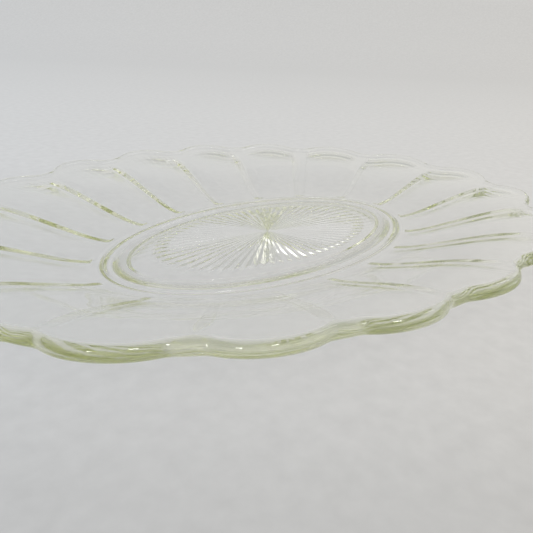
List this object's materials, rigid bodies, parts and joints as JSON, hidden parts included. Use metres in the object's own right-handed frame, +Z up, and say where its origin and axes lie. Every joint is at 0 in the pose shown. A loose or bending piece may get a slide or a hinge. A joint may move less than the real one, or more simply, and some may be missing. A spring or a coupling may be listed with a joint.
{
  "type": "oval serving platter",
  "caption": "Oval serving platter of clear pressed glass with a petal-fluted flange, a scalloped rim, a foot ring and a sunburst floor.",
  "frame": {"origin": "on the table plane under the middle of the platter, level with the underside of the foot ring", "axes": "+X along the platter's length, +Y across its width, +Z up out of the dish"},
  "size_m": [0.312, 0.2452, 0.0246],
  "materials": {
    "pressed_glass": "clear fire-polished pressed glass with a faint yellow-green tint, deeper in the thick edges"
  },
  "bodies": {
    "root": {"platter": "pressed_glass"}
  },
  "joints": []
}
